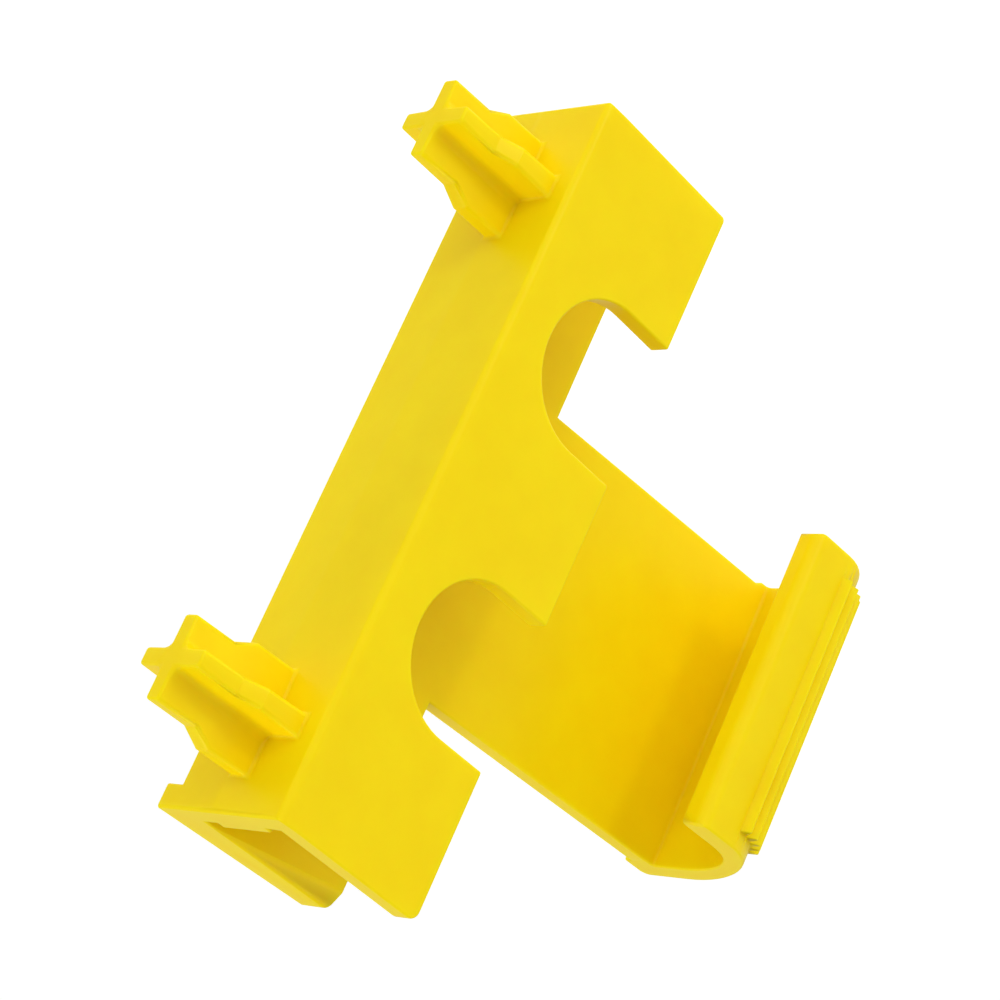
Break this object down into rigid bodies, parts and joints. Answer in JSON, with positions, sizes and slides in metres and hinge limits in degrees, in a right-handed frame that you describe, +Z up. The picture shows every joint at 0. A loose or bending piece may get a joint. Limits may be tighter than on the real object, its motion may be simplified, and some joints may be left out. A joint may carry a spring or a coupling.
{
  "type": "fence insulator",
  "caption": "Clip-on plastic insulator: a C-shaped channel with a springy hooked arm grips a T-post flange, and cross-shaped pegs on its front hold electric fence tape.",
  "frame": {"origin": "middle of the slot that the post's flange fills, level with the middle of the part", "axes": "+Z up the post, +X towards the side of the post's studs, -Y the way the pegs point"},
  "size_m": [0.0167, 0.0491, 0.0554],
  "materials": {
    "yellow_polyethylene": "semi-gloss moulded high-density polyethylene, bright yellow, slightly translucent"
  },
  "bodies": {
    "channel": {"front_wall": "yellow_polyethylene", "edge_pad": "yellow_polyethylene", "lobed_wall": "yellow_polyethylene", "lobe_bottom": "yellow_polyethylene", "lobe_middle": "yellow_polyethylene", "lobe_top": "yellow_polyethylene", "plain_wall": "yellow_polyethylene", "end_rim_top": "yellow_polyethylene", "end_rim_bottom": "yellow_polyethylene", "peg_upper": "yellow_polyethylene", "peg_lower": "yellow_polyethylene"},
    "clip_arm": {"arm": "yellow_polyethylene", "hook_end": "yellow_polyethylene", "hook_nose": "yellow_polyethylene", "hook_lip": "yellow_polyethylene", "grip_rib_1": "yellow_polyethylene", "grip_rib_2": "yellow_polyethylene", "grip_rib_3": "yellow_polyethylene", "grip_rib_4": "yellow_polyethylene", "grip_rib_5": "yellow_polyethylene"}
  },
  "joints": [
    {"name": "arm_flex", "type": "hinge", "parent": "channel", "child": "clip_arm", "pos_m": [0.0056, -0.00605, 0], "axis": [0, 0, -1], "range_deg": [0, 25], "stiffness_Nm_per_rad": 0.8}
  ]
}
